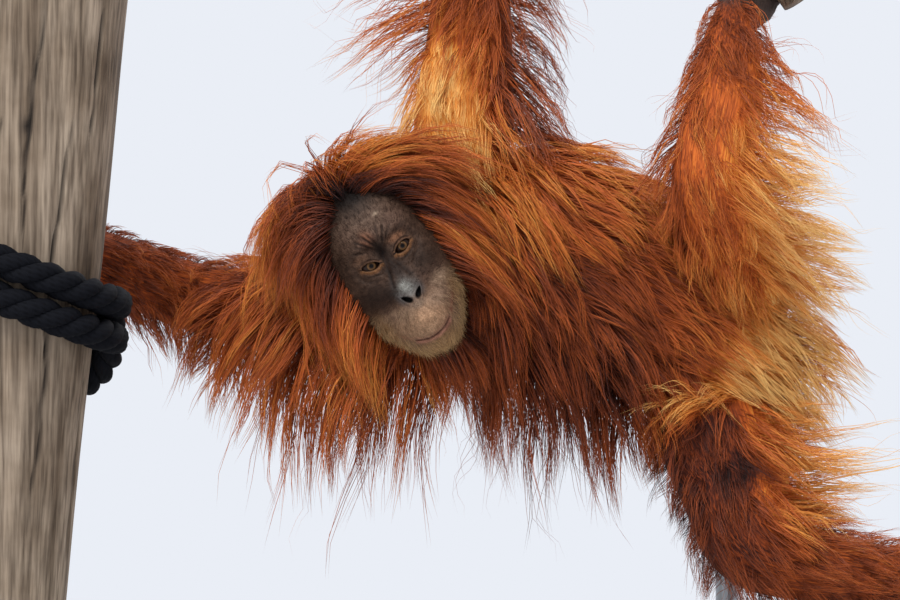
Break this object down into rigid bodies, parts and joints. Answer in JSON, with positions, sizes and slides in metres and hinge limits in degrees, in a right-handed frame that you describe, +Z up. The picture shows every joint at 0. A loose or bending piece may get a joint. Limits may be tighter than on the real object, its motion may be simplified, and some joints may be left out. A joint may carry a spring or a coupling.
{
  "type": "orangutan model",
  "caption": "Young orangutan slung sideways between cut lengths of timber, with a long red-brown coat, held by a flat stand",
  "frame": {"origin": "on the floor, on the underside of the stand's base, below the animal's head and chest", "axes": "+Z up, -Y out of the animal's chest and face towards the viewer, +X from its head to its rump"},
  "size_m": [1.1619, 0.42, 1.1312],
  "materials": {
    "coat": "long glossy red-brown hair, lighter and golden at the fringes",
    "face": "dark grey-brown facial skin, tan round the mouth, with fine pale hairs",
    "skin": "dark creased skin of the ears, hands and feet",
    "eye": "wet brown eye",
    "timber": "weathered grey-brown timber, cracked along the grain",
    "rope": "thick laid black rope, matt",
    "board": "plain pale grey board, satin painted",
    "rod": "dark grey painted steel rod"
  },
  "bodies": {
    "root": {"head": "face", "eye_left": "eye", "eye_right": "eye", "ear_left": "skin", "ear_right": "skin", "neck": "coat", "chest": "coat", "belly": "coat", "pelvis": "coat", "upper_arm_left": "coat", "forearm_left": "coat", "hand_left": "skin", "upper_arm_right": "coat", "forearm_right": "coat", "hand_right": "skin", "thigh_left": "coat", "shin_left": "coat", "foot_left": "skin", "thigh_right": "coat", "shin_right": "coat", "foot_right": "skin", "perch_post": "timber", "perch_bough": "timber", "perch_stub": "timber", "lashing_upper": "rope", "lashing_lower": "rope", "stand_base": "board", "stand_rod_body": "rod", "stand_rod_post": "rod"}
  },
  "joints": []
}
